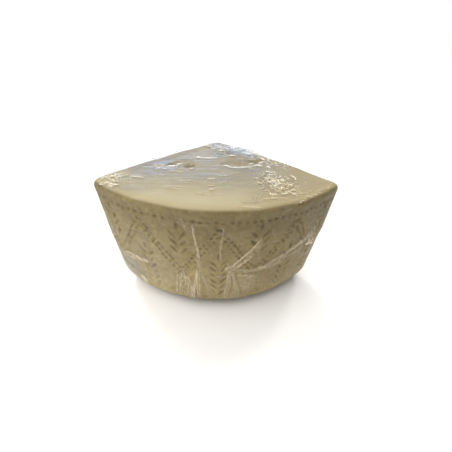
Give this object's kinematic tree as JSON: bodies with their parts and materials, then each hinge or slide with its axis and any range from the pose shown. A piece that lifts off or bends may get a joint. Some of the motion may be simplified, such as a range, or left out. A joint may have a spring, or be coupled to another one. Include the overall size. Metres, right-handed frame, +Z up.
{
  "type": "pecorino romano cheese wedge",
  "caption": "Quarter of a half-height wheel of hard sheep's cheese, pressed pattern on its curved rind, two straight cut faces, wrapped in tight clear film.",
  "frame": {"origin": "middle of the bounding box on the surface the wedge stands on", "axes": "+Z up, -Y towards the curved rind, +Y towards the edge where the two cut faces meet, X across the rind"},
  "size_m": [0.2362, 0.164, 0.1449],
  "materials": {
    "cheese": "satin",
    "cling_film": "gloss"
  },
  "bodies": {
    "root": {"wrapped_cheese_wedge": "cheese"}
  },
  "joints": []
}
